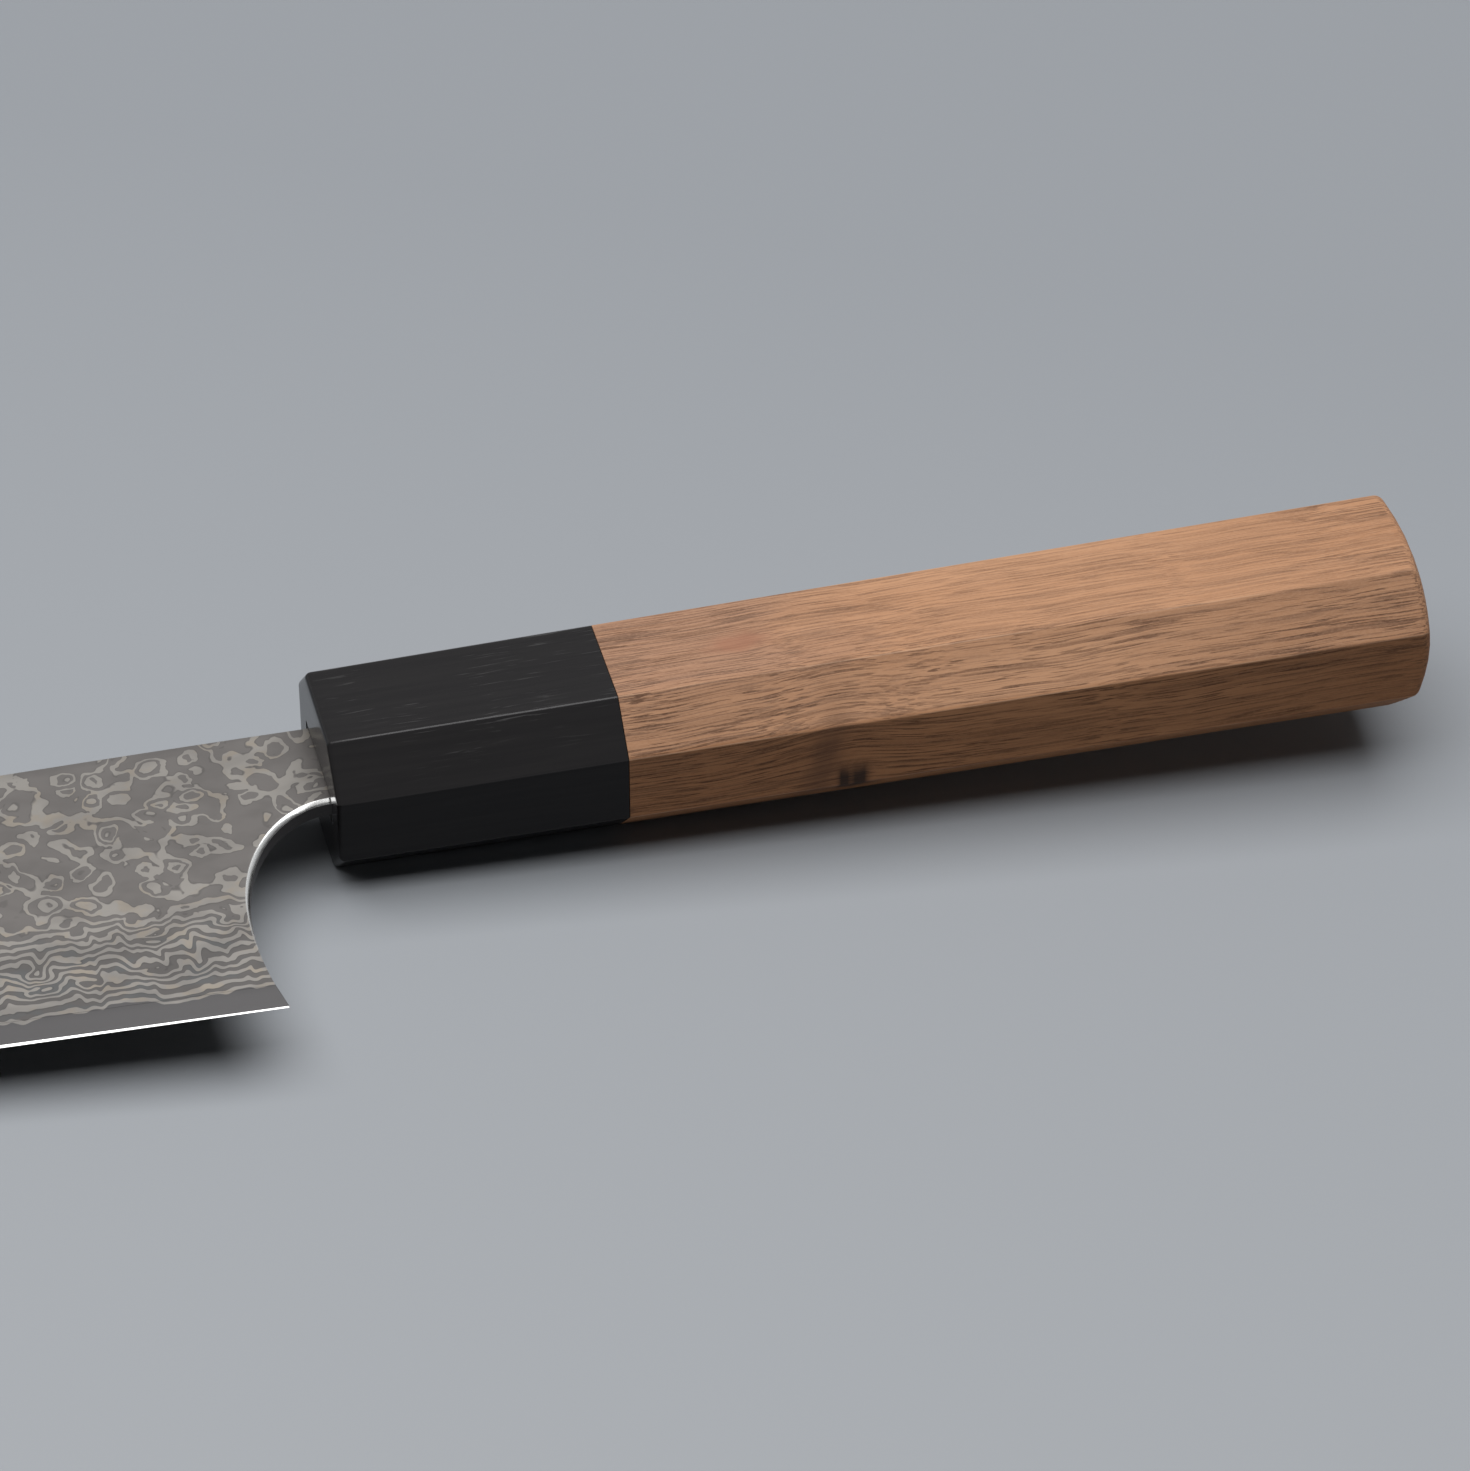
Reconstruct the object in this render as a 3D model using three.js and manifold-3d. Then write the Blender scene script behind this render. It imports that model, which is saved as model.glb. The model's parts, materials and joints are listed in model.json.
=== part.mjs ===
// Bunka kitchen knife: a three-layer blade whose hidden tang is bedded in an
// octagonal walnut handle, behind a black ferrule. Sizes are millimetres.
//
// The knife is built along its own axes: X runs from the point to the butt,
// Y from the cutting edge to the spine, and Z through the blade's thickness.
// x = 0 is the ferrule's front face, and y = z = 0 is the handle's middle line.
// At the end the whole knife is laid on its side on a table, with +Z up.
import * as THREE from "three";
import { mergeVertices } from "three/addons/utils/BufferGeometryUtils.js";
import Module from "manifold-3d";

const wasm = await Module();
wasm.setup();

// Handle: an octagon with 45 degree chamfers that swells towards the butt
const handleLength = 132;
const ferruleLength = 34;
const mouthHeight = 23.5;
const mouthThickness = 18.8;
const mouthChamfer = 5.2;
const buttHeight = 25.8;
const buttThickness = 20.2;
const buttChamfer = 5.5;
const mouthEase = 0.8;
const buttEase = 0.7;
const buttCrown = 2;
const crownInset = 9;

// Joint inside the handle: a slotted dowel, and a resin bed round the tang's end
const ferruleWeb = 9;
const dowelDiameter = 13;
const dowelLength = 48;
const pocketDiameter = 9.5;
const pocketSpare = 2;
const slotClearance = 0.5;
const sealDepth = 3;
const glueLine = 0.1;

// Blade profile, seen square to its face
const bladeLength = 170;
const neckHeight = 13.8;
const neckCentre = -0.2;
const choilAhead = 12.8;
const choilDrop = 28;
const heelAhead = 11.1;
const heelDrop = 39.4;
const edgeRun = 64;
const edgeRise = 0.039;
const bellyRun = 34;
const bellyAngle = THREE.MathUtils.degToRad(26);
const pointDrop = 20;
const clipLength = 34;
const clipTop = 5.2;
const spineCrestAhead = 60;
const spineCrest = 8.1;

// Tang
const tangLength = 92;
const tangRootHeight = 9;
const tangEndHeight = 6;

// Layers: a hard core between two patterned claddings that thin towards the point
const coreThickness = 0.6;
const coreBand = 3.7;
const grindHeight = 22;
const bevelWidth = 0.4;
const bevelThickness = 0.25;
const claddingAtMouth = 0.9;
const claddingAtTangEnd = 0.55;
const claddingAtClip = 0.5;
const claddingAtPoint = 0.3;
const weldGap = 0.02;

// Fineness of curves, and how far a cutting solid reaches past what it cuts
const curveSteps = 24;
const roundSides = 48;
const easeSteps = 4;
const crownSteps = 5;
const overshoot = 1;

// Sizes and places that follow from those above
const neckTop = neckCentre + neckHeight / 2;
const neckBottom = neckCentre - neckHeight / 2;
const neckThickness = coreThickness + 2 * (weldGap + claddingAtMouth);
const shoulder = ferruleWeb - slotClearance;
const dowelFront = ferruleWeb + glueLine;
const dowelBack = dowelFront + dowelLength;
const pocketFront = dowelBack + glueLine;
const pocketBack = tangLength + pocketSpare;
const heel = new THREE.Vector2(-heelAhead, -heelDrop);
const point = new THREE.Vector2(-heelAhead - bladeLength, -pointDrop);
const clipStart = new THREE.Vector2(point.x + clipLength, clipTop);

// The cutting edge: nearly straight from the heel, then a belly up to the point
const edge = new THREE.CubicBezierCurve(
  heel,
  new THREE.Vector2(heel.x - edgeRun, heel.y + edgeRun * edgeRise),
  new THREE.Vector2(
    point.x + bellyRun * Math.cos(bellyAngle),
    point.y - bellyRun * Math.sin(bellyAngle),
  ),
  point,
);

// A closed geometry as a solid that can be joined and cut
function toSolid(geometry) {
  const bare = geometry.clone();
  bare.deleteAttribute("normal");
  bare.deleteAttribute("uv");
  const merged = mergeVertices(bare);
  return new wasm.Manifold(
    new wasm.Mesh({
      numProp: 3,
      vertProperties: merged.attributes.position.array,
      triVerts: new Uint32Array(merged.index.array),
    }),
  );
}

// A solid back as a geometry
function toGeometry(solid) {
  const mesh = solid.getMesh();
  const geometry = new THREE.BufferGeometry();
  geometry.setAttribute(
    "position",
    new THREE.BufferAttribute(mesh.vertProperties, mesh.numProp),
  );
  geometry.setIndex(new THREE.BufferAttribute(mesh.triVerts, 1));
  return geometry;
}

// A closed skin over sections that follow one another towards +X, with flat ends.
// Each section runs anticlockwise as seen from +X.
function loft(sections) {
  const count = sections[0].length;
  const last = (sections.length - 1) * count;
  const faces = [];
  for (let s = 0; s < last; s += count) {
    for (let i = 0; i < count; i++) {
      const j = (i + 1) % count;
      faces.push(s + i, s + j, s + count + i);
      faces.push(s + j, s + count + j, s + count + i);
    }
  }
  for (let i = 1; i < count - 1; i++) {
    faces.push(0, i + 1, i);
    faces.push(last, last + i, last + i + 1);
  }
  const geometry = new THREE.BufferGeometry().setFromPoints(sections.flat());
  geometry.setIndex(faces);
  return geometry;
}

// A box from its X span, its middle height and its sizes along Y and Z
function block(front, back, middle, height, thickness) {
  const box = new THREE.BoxGeometry(back - front, height, thickness);
  return toSolid(box.translate((front + back) / 2, middle, 0));
}

// A round bar along the handle's middle line
function roundBar(front, back, diameter) {
  const radius = diameter / 2;
  const bar = new THREE.CylinderGeometry(radius, radius, back - front, roundSides);
  bar.rotateZ(-Math.PI / 2);
  return toSolid(bar.translate((front + back) / 2, 0, 0));
}

// The handle's octagon at x, drawn in by inset all round
function octagon(x, inset = 0) {
  const share = x / handleLength;
  const lerp = THREE.MathUtils.lerp;
  const halfHeight = lerp(mouthHeight, buttHeight, share) / 2 - inset;
  const halfThickness = lerp(mouthThickness, buttThickness, share) / 2 - inset;
  const chamfer = lerp(mouthChamfer, buttChamfer, share) - inset * (2 - Math.SQRT2);
  const flatHeight = halfHeight - chamfer;
  const flatThickness = halfThickness - chamfer;
  const corners = [
    [halfHeight, flatThickness],
    [flatHeight, halfThickness],
    [-flatHeight, halfThickness],
    [-halfHeight, flatThickness],
    [-halfHeight, -flatThickness],
    [-flatHeight, -halfThickness],
    [flatHeight, -halfThickness],
    [halfHeight, -flatThickness],
  ];
  return corners.map(([y, z]) => new THREE.Vector3(x, y, z));
}

// Octagons that round an end's edges over a quarter circle of radius ease.
// inward is +1 at the mouth and -1 at the butt, and the first one is the end face.
function easedEnd(end, ease, inward) {
  const sections = [];
  for (let i = 0; i <= easeSteps; i++) {
    const angle = ((Math.PI / 2) * i) / easeSteps;
    const x = end + inward * ease * (1 - Math.cos(angle));
    sections.push(octagon(x, ease * (1 - Math.sin(angle))));
  }
  return sections;
}

// Octagons from the butt's rounded edges up the crown to the small flat on its middle
function crownedButt() {
  const sections = easedEnd(handleLength - buttCrown, buttEase, -1).reverse();
  for (let i = 1; i <= crownSteps; i++) {
    const share = i / crownSteps;
    const x = handleLength - buttCrown * (1 - share) ** 2;
    sections.push(octagon(x, THREE.MathUtils.lerp(buttEase, crownInset, share)));
  }
  return sections;
}

// Ferrule: a slot through its front web for the neck, and a bore for the dowel
function ferruleSolid() {
  const body = loft([...easedEnd(0, mouthEase, 1), octagon(ferruleLength)]);
  const slot = block(
    -overshoot,
    ferruleWeb + overshoot,
    neckCentre,
    neckHeight + 2 * slotClearance,
    neckThickness + 2 * slotClearance,
  );
  const bore = roundBar(
    ferruleWeb,
    ferruleLength + overshoot,
    dowelDiameter + 2 * glueLine,
  );
  return toSolid(body).subtract(slot).subtract(bore);
}

// Handle body: the dowel's bore, then a narrower pocket for the tang's end
function handleSolid() {
  const front = ferruleLength + glueLine;
  const bore = roundBar(
    front - overshoot,
    pocketFront,
    dowelDiameter + 2 * glueLine,
  );
  const pocket = roundBar(front, pocketBack, pocketDiameter);
  const body = loft([octagon(front), ...crownedButt()]);
  return toSolid(body).subtract(bore).subtract(pocket);
}

// Dowel: slotted from end to end so that the tang passes through it
function dowelSolid() {
  const slot = block(
    dowelFront - overshoot,
    dowelBack + overshoot,
    neckCentre,
    tangRootHeight + 2 * slotClearance,
    neckThickness + 2 * slotClearance,
  );
  return roundBar(dowelFront, dowelBack, dowelDiameter).subtract(slot);
}

// Traces the tang from x round its end and back to x, standing off it by gap
function traceTang(shape, x, gap) {
  const endRadius = tangEndHeight / 2;
  const roundFrom = tangLength - endRadius;
  const share = (x - shoulder) / (roundFrom - shoulder);
  const half = THREE.MathUtils.lerp(tangRootHeight, tangEndHeight, share) / 2;
  shape.lineTo(x, neckCentre - half - gap);
  shape.lineTo(roundFrom, neckCentre - endRadius - gap);
  shape.absarc(roundFrom, neckCentre, endRadius + gap, -Math.PI / 2, Math.PI / 2);
  shape.lineTo(x, neckCentre + half + gap);
}

// A flat outline as a plate of the given thickness about z = 0
function plate(shape, thickness) {
  const extruded = new THREE.ExtrudeGeometry(shape, {
    depth: thickness,
    bevelEnabled: false,
    curveSegments: curveSteps,
  });
  return toSolid(extruded.translate(0, 0, -thickness / 2));
}

// Bed: the resin that fills the pocket round the tang's end
function bedSolid() {
  const fill = roundBar(
    pocketFront,
    pocketBack - glueLine,
    pocketDiameter - 2 * glueLine,
  );
  const tang = new THREE.Shape();
  tang.moveTo(dowelBack, neckCentre);
  traceTang(tang, dowelBack, glueLine);
  return fill.subtract(plate(tang, neckThickness + 2 * glueLine));
}

// Seal: the bead of resin that closes the slot round the neck
function sealSolid() {
  const gap = slotClearance - glueLine;
  const bead = block(
    glueLine,
    sealDepth,
    neckCentre,
    neckHeight + 2 * gap,
    neckThickness + 2 * gap,
  );
  const hollow = block(
    0,
    sealDepth + overshoot,
    neckCentre,
    neckHeight + 2 * glueLine,
    neckThickness + 2 * glueLine,
  );
  return bead.subtract(hollow);
}

// Outline of blade and tang. Below the edge it stands off, where the grind cuts.
function bladeShape() {
  const clipWay = point.clone().sub(clipStart).normalize();
  const pastPoint = point.clone().addScaledVector(clipWay, overshoot);
  const shape = new THREE.Shape();
  shape.moveTo(shoulder, neckBottom);
  traceTang(shape, shoulder, 0);
  shape.lineTo(shoulder, neckTop);
  shape.lineTo(0, neckTop);
  shape.quadraticCurveTo(-spineCrestAhead, spineCrest, clipStart.x, clipStart.y);
  shape.lineTo(pastPoint.x, pastPoint.y);
  for (const p of edge.getPoints(curveSteps).reverse()) {
    shape.lineTo(p.x, p.y - overshoot);
  }
  shape.lineTo(heel.x, heel.y);
  const choilMiddle = -(choilDrop + heelDrop) / 2;
  shape.quadraticCurveTo(-choilAhead, choilMiddle, -choilAhead, -choilDrop);
  const choilRadius = neckBottom + choilDrop;
  shape.absellipse(0, -choilDrop, choilAhead, choilRadius, Math.PI, Math.PI / 2, true);
  return shape;
}

// Where the grind is set out, from the point to the tang's end: the edge's own
// points, run on past both ends
function grindStations() {
  const along = edge.getPoints(curveSteps).reverse();
  const pastPoint = point.clone().addScaledVector(edge.getTangent(1), overshoot);
  const pastTang = new THREE.Vector2(tangLength + overshoot, heel.y);
  return [pastPoint, ...along, new THREE.Vector2(0, heel.y), pastTang];
}

// Thickness of one cladding above the grind, x along the knife
function claddingAt(x) {
  const clamp = THREE.MathUtils.clamp;
  const lerp = THREE.MathUtils.lerp;
  if (x > 0) {
    const share = clamp(x / tangLength, 0, 1);
    return lerp(claddingAtMouth, claddingAtTangEnd, share);
  }
  if (x > clipStart.x) {
    return lerp(claddingAtMouth, claddingAtClip, x / clipStart.x);
  }
  const share = clamp((clipStart.x - x) / clipLength, 0, 1);
  return lerp(claddingAtClip, claddingAtPoint, share);
}

// Core: a flat sheet from point to tang, ground to the cutting edge
function coreSolid() {
  const half = coreThickness / 2;
  const top = spineCrest + overshoot;
  const sections = grindStations().map(({ x, y }) => [
    new THREE.Vector3(x, y, 0),
    new THREE.Vector3(x, y + bevelWidth, -bevelThickness / 2),
    new THREE.Vector3(x, y + coreBand, -half),
    new THREE.Vector3(x, top, -half),
    new THREE.Vector3(x, top, half),
    new THREE.Vector3(x, y + coreBand, half),
    new THREE.Vector3(x, y + bevelWidth, bevelThickness / 2),
  ]);
  return toSolid(loft(sections)).intersect(plate(bladeShape(), coreThickness * 2));
}

// Cladding: flat above, and from the grind's height down ground to nothing a little
// above the edge. side is +1 or -1 along Z.
function claddingSolid(side) {
  const inner = coreThickness / 2 + weldGap;
  const top = spineCrest + overshoot;
  const sections = grindStations().map(({ x, y }) => {
    const outer = inner + claddingAt(x);
    const section = [
      new THREE.Vector3(x, y + coreBand, side * inner),
      new THREE.Vector3(x, top, side * inner),
      new THREE.Vector3(x, top, side * outer),
      new THREE.Vector3(x, y + grindHeight, side * outer),
    ];
    return side > 0 ? section : section.reverse();
  });
  return toSolid(loft(sections)).intersect(plate(bladeShape(), neckThickness * 2));
}

// Finishes
const finish = (color, roughness, metalness) =>
  new THREE.MeshStandardMaterial({ color, roughness, metalness });
const coreSteel = finish(0x7b7875, 0.35, 1);
const etchedSteel = finish(0x7d7770, 0.5, 1);
const blackHorn = finish(0x1b1a1b, 0.3, 0);
const walnut = finish(0xa87a5a, 0.6, 0);
const paleWood = finish(0xd9c39c, 0.7, 0);
const darkResin = finish(0x15130f, 0.4, 0);
const amberResin = finish(0x7a5426, 0.35, 0);

const knife = new THREE.Group();
function addPiece(name, solid, material) {
  const mesh = new THREE.Mesh(toGeometry(solid), material);
  mesh.name = name;
  knife.add(mesh);
  return mesh;
}
const core = addPiece("blade_core", coreSolid(), coreSteel);
const lowerCladding = addPiece("cladding_lower", claddingSolid(-1), etchedSteel);
addPiece("cladding_upper", claddingSolid(1), etchedSteel);
addPiece("ferrule", ferruleSolid(), blackHorn);
addPiece("mouth_seal", sealSolid(), darkResin);
addPiece("dowel", dowelSolid(), paleWood);
addPiece("tang_bed", bedSolid(), amberResin);
addPiece("handle_body", handleSolid(), walnut);

// The knife is blade-heavy: laid on its side, it tips forward on the ferrule's
// lower front edge until the first part of the blade's nose meets the table.
function restTilt() {
  const pivot = octagon(mouthEase).reduce((a, b) => (b.z < a.z ? b : a));
  let tilt = Infinity;
  for (const mesh of [core, lowerCladding]) {
    const places = mesh.geometry.attributes.position;
    for (let i = 0; i < places.count; i++) {
      const rise = places.getZ(i) - pivot.z;
      tilt = Math.min(tilt, Math.atan2(rise, pivot.x - places.getX(i)));
    }
  }
  return tilt;
}

// On the table, with the origin under the middle of the knife's box
knife.rotation.y = -restTilt();
const box = new THREE.Box3().setFromObject(knife, true);
const middle = box.getCenter(new THREE.Vector3());
knife.position.set(-middle.x, -middle.y, -box.min.z);

const bunka = new THREE.Group();
bunka.add(knife);

export default bunka;
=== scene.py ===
import json
import math

import bmesh
import bpy
import numpy as np
from mathutils import Matrix


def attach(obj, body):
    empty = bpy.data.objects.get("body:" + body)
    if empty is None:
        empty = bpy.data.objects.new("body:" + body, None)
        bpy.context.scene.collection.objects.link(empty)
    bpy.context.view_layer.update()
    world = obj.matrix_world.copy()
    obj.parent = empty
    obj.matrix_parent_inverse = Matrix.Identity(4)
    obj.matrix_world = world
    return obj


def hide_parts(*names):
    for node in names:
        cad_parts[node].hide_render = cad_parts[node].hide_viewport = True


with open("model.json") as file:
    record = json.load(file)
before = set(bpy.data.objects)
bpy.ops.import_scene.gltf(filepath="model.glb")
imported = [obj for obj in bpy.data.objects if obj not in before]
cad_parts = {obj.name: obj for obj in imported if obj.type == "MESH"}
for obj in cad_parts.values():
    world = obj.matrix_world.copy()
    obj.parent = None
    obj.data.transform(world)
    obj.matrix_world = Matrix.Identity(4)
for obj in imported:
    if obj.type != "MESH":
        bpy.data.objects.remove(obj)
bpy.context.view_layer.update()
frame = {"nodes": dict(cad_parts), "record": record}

# Blade core
# The hard steel sheet in the middle of the blade, forge welded between two claddings and drawn out behind
# into the hidden tang. Only its lower band shows, ground thin and honed to the bright cutting edge.
BLADE_LENGTH = 170.0
HEEL = np.array([-11.1, -39.4])
POINT_RISE = 19.4
EDGE_RUN = 64.0
EDGE_RISE = 0.039
BELLY_RUN = 34.0
BELLY_ANGLE = math.radians(26.0)
CLIP_LENGTH = 34.0
CLIP_RISE = 25.2
SPINE_CREST = np.array([-60.0, 8.1])
NECK_MIDDLE = -0.2
NECK_HALF = 6.9
CHOIL_AHEAD = 12.8
CHOIL_DROP = 28.0
SHOULDER = 8.5
SHOULDER_STEP = 0.1
TANG_ROOT_HALF = 4.5
TANG_END_HALF = 3.0
TANG_LENGTH = 92.0
CORE_HALF = 0.3
CORE_BAND = 3.7
BAND_TOP = 4.2
BAND_ROWS = (1.7, 2.7)
BEVEL_AT_POINT = 0.34
BEVEL_AT_HEEL = 0.18
BEVEL_NARROWS_FROM = 0.75
BEVEL_SLOPE = 0.3
BEVEL_FADE = 0.05
EDGE_HALF = 0.008

# How finely the blade is divided. Its columns stand upright at the point and lean forward over the choil.
CURVE_POINTS = 600
EDGE_COLUMNS = 190
CHOIL_COLUMNS = 110
NECK_COLUMNS = 7
TANG_COLUMNS = 15
TANG_END_COLUMNS = 8
CORNER_SHARE = 0.0012
COLUMN_LEAN = 39.0
LEAN_END = -2.0
LEAST_SLANT = 0.4
MOST_OF_COLUMN = 0.4
CORE_ROWS = 8
BACK_ROW = 0.5
CORE_CREASE = 10
SAME_PLACE = 1e-7
TINY = 1e-9

# The etched layers. A span is where a part of the pattern starts and where it is full, in millimetres above
# the edge. Heights are counted in layers.
LAYER_SPACING = 1.45
LAYER_THICKNESS = 0.07
LAYER_OFFSET = 0.1
GRIND_TURN = 19.0
TURN_BLEND = 2.5
FIRST_LAYER = 2.45
FIRST_BLEND = 0.1
FACES_APART = 30.0
FLAT_SPAN = (13.0, 20.0)
SAG_SPAN = (12.0, 20.0)
LUMP_SPAN = (5.0, 9.0)
KINK_SPAN = (4.0, 9.0)
TONE_SPAN = (10.0, 22.0)
SAG = 7.0
HILLS_PER_MM = 0.28
HILL_HEIGHTS = (0.35, 1.75)
HILL_JITTER = 0.95
HILL_RIM = 0.20
HILL_TOP = 0.05
HILL_FOOT = 0.66
MOUND_HEIGHT = 0.8
LUMPS_PER_MM = 0.36
LUMP_HEIGHTS = (-1.5, 2.0)
WAVE_HEIGHT = 1.2
KINK_HEIGHT = 1.8
KINK_GROWTH = 2.4
DARK_SHARE = 0.45
DARKER_FLAT = 0.03
BORDER_SWAY = 0.25
BORDER_BLEND = 0.06
LIGHT_END = (0.93, 0.99)
RIM_BAND = (-0.10, -0.02)

# Colours of the flat side, the ground part, the core's bare band, the honed edge and the stains, then gloss.
DARK_STEEL = (0.155, 0.144, 0.137, 1)
LIGHT_STEEL = (0.284, 0.267, 0.245, 1)
GROUND_DARK = (0.111, 0.104, 0.100, 1)
GROUND_LIGHT = (0.256, 0.241, 0.223, 1)
BAND_STEEL = (0.089, 0.0857, 0.0867, 1)
HONED_STEEL = (0.62, 0.62, 0.61, 1)
WARM_STAIN = (0.300, 0.258, 0.206, 1)
COOL_STAIN = (0.105, 0.110, 0.112, 1)
BLACK = (0.0, 0.0, 0.0, 1)
WARMTH = 0.7
COOLNESS = 0.6
RIM_DARKENING = 0.18
TARNISH_ON_LIGHT = 0.30
TARNISH_ON_DARK = 0.12
ETCHED_METAL = 0.5
STEEL_ROUGHNESS = 0.36
LIGHT_SMOOTHING = 0.03
HONED_SMOOTHING = 0.19
STEEL_SHINE = 0.2

# The knife's own axes, in millimetres: x runs from point to butt, y from edge to spine and z through the
# blade, from the middle of the handle's mouth. They are read off the handle's lower flat, which falls
# away a little towards the butt as the handle swells.
METRE = 1000.0
HANDLE_LENGTH = 132.0
MOUTH_THICKNESS = 18.8
BUTT_THICKNESS = 20.2
FLAT_POINT = 82.0
lower_flat = next(mount for mount in frame["record"]["mounts"] if mount["name"] == "handle_lower_flat")
swell = (BUTT_THICKNESS - MOUTH_THICKNESS) / 2 / HANDLE_LENGTH
flat_way = np.array(lower_flat["axis"]) / np.linalg.norm(lower_flat["axis"])
height_way = np.array([0.0, 1.0, 0.0])
length_way = np.cross(flat_way, height_way) - swell * flat_way
length_way /= np.linalg.norm(length_way)
thickness_way = np.cross(length_way, height_way)
knife_axes = np.stack([length_way, height_way, thickness_way])
flat_place = np.array([FLAT_POINT, 0.0, -MOUTH_THICKNESS / 2 - swell * FLAT_POINT])
knife_origin = np.array(lower_flat["pos_m"]) * METRE - flat_place @ knife_axes


def lay(points):
    """Knife millimetres to metres on the table: each axis times its coordinate, from the knife's origin."""
    return (points @ knife_axes + knife_origin) / METRE


def bezier(corners, share):
    """A Bezier curve: neighbours give way to the point `share` of the way between them, down to one."""
    points = np.repeat(np.asarray(corners, float)[:, None], len(share), axis=1)
    while len(points) > 1:
        points = points[:-1] + (points[1:] - points[:-1]) * share[:, None]
    return points[0]


def smooth(low, high, value):
    """0 below low, 1 above high, and an even S between them."""
    share = np.clip((value - low) / (high - low), 0, 1)
    return share * share * (3 - 2 * share)


fine = np.linspace(0, 1, CURVE_POINTS)
edge_share = np.append(np.linspace(0, 1 - CORNER_SHARE, EDGE_COLUMNS - 1), 1)
point = HEEL + [-BLADE_LENGTH, POINT_RISE]
clip_start = point + [CLIP_LENGTH, CLIP_RISE]
neck_top = NECK_MIDDLE + NECK_HALF
neck_bottom = NECK_MIDDLE - NECK_HALF
belly_corner = point + BELLY_RUN * np.array([math.cos(BELLY_ANGLE), -math.sin(BELLY_ANGLE)])
edge_corner = HEEL + EDGE_RUN * np.array([-1.0, EDGE_RISE])
edge_line = bezier([point, belly_corner, edge_corner, HEEL], fine)
spine_line = bezier([clip_start, SPINE_CREST, [0, neck_top]], fine)
choil_turn = np.pi * (1 - fine / 2)
choil_corner = [-CHOIL_AHEAD, (HEEL[1] - CHOIL_DROP) / 2]
choil_line = np.concatenate([
    bezier([HEEL, choil_corner, [-CHOIL_AHEAD, -CHOIL_DROP]], fine),
    np.stack([
        CHOIL_AHEAD * np.cos(choil_turn),
        (neck_bottom + CHOIL_DROP) * np.sin(choil_turn) - CHOIL_DROP,
    ], axis=1)[1:],
])
choil_run = np.append(0, np.cumsum(np.linalg.norm(np.diff(choil_line, axis=0), axis=1)))


def edge_height(x):
    """Height of the cutting edge at x, level behind the heel."""
    return np.interp(x, edge_line[:, 0], edge_line[:, 1])


def back_height(x):
    """Height of the blade's back at x: the straight clip up from the point, the spine, then the neck."""
    return np.interp(x, [point[0], *spine_line[:, 0]], [point[1], *spine_line[:, 1]])


def on_clip(rise):
    """x on the clip, where the blade's back is `rise` above the cutting edge."""
    ahead = np.linspace(point[0], clip_start[0], CURVE_POINTS)
    return np.interp(rise, back_height(ahead) - edge_height(ahead), ahead)


def up_choil(rise):
    """How far along the choil, from the heel, it is `rise` above the cutting edge."""
    return np.interp(rise, choil_line[:, 1] - edge_height(choil_line[:, 0]), choil_run)


def layer_borders(rise):
    """Front and back border lines of a blade layer that starts `rise` above the cutting edge.

    The front line follows the edge, climbs the choil and runs back under the neck and tang. Each of its
    points has a partner on the back line, which leans towards the point over the heel. The third array
    says how far up the choil a front point lies.
    """
    start = up_choil(rise)
    first = on_clip(rise)
    last = np.interp(start, choil_run, choil_line[:, 0])
    along = first + (last - first) * edge_share
    climb_share = np.linspace(0, 1, CHOIL_COLUMNS + 1)[1:]
    climb = start + (choil_run[-1] - start) * climb_share
    lean_start = last - COLUMN_LEAN
    neck_share = np.linspace(0, 1, NECK_COLUMNS + 1)[1:]
    tang_share = np.linspace(0, 1, TANG_COLUMNS + 1)[1:]
    end_turn = np.linspace(0, np.pi / 2, TANG_END_COLUMNS + 1)[1:]
    round_from = TANG_LENGTH - TANG_END_HALF
    tang_root = SHOULDER + SHOULDER_STEP
    tang_half = TANG_ROOT_HALF + (TANG_END_HALF - TANG_ROOT_HALF) * tang_share
    tang_x = tang_root + (round_from - tang_root) * tang_share
    end_x = round_from + TANG_END_HALF * np.sin(end_turn)
    end_half = TANG_END_HALF * np.cos(end_turn)
    behind_x = np.concatenate([[tang_root], tang_x, end_x])
    behind_half = np.concatenate([[TANG_ROOT_HALF], tang_half, end_half])
    climb_x = np.interp(climb, choil_run, choil_line[:, 0])
    front_x = np.concatenate([along, climb_x, SHOULDER * neck_share, behind_x])
    front_y = np.concatenate([
        edge_height(along) + rise,
        np.interp(climb, choil_run, choil_line[:, 1]),
        np.full_like(neck_share, neck_bottom),
        NECK_MIDDLE - behind_half,
    ])
    back_x = np.concatenate([
        along - COLUMN_LEAN * edge_share ** 3,
        lean_start + (LEAN_END - lean_start) * climb_share,
        LEAN_END + (SHOULDER - LEAN_END) * neck_share,
        behind_x,
    ])
    back_y = np.concatenate([back_height(back_x[:-len(behind_x)]), NECK_MIDDLE + behind_half])
    climbed = np.concatenate([
        np.zeros_like(along),
        climb - start,
        np.full(len(neck_share) + len(behind_x), choil_run[-1] - start),
    ])
    return np.stack([front_x, front_y], axis=1), np.stack([back_x, back_y], axis=1), climbed


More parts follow.
